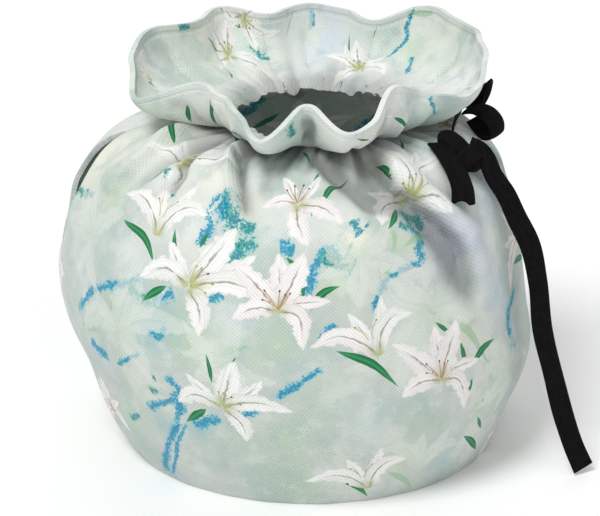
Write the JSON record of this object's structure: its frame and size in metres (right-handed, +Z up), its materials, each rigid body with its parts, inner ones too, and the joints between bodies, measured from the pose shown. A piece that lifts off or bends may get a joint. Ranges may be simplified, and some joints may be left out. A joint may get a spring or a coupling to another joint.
{
  "type": "tea cosy",
  "caption": "Tea cosy of padded cloth with a lily print, a gathered neck with a fluted frill, side slits for spout and handle and a black ribbon tie.",
  "frame": {"origin": "middle of the whole part's footprint, on the table under the hem", "axes": "+Z up, the front towards -Y, the handle side with the tie towards +X and the spout side towards -X"},
  "size_m": [0.238, 0.2092, 0.1811],
  "materials": {
    "printed_cloth": "matt canvas weave, padded, printed on both faces",
    "black_ribbon": "matt woven ribbon"
  },
  "bodies": {
    "root": {"front_panel": "printed_cloth", "back_panel": "printed_cloth", "tie_lead": "black_ribbon", "tie_knot": "black_ribbon", "tie_loop_back": "black_ribbon", "tie_loop_side": "black_ribbon", "tie_short_end": "black_ribbon", "tie_long_end": "black_ribbon"}
  },
  "joints": []
}
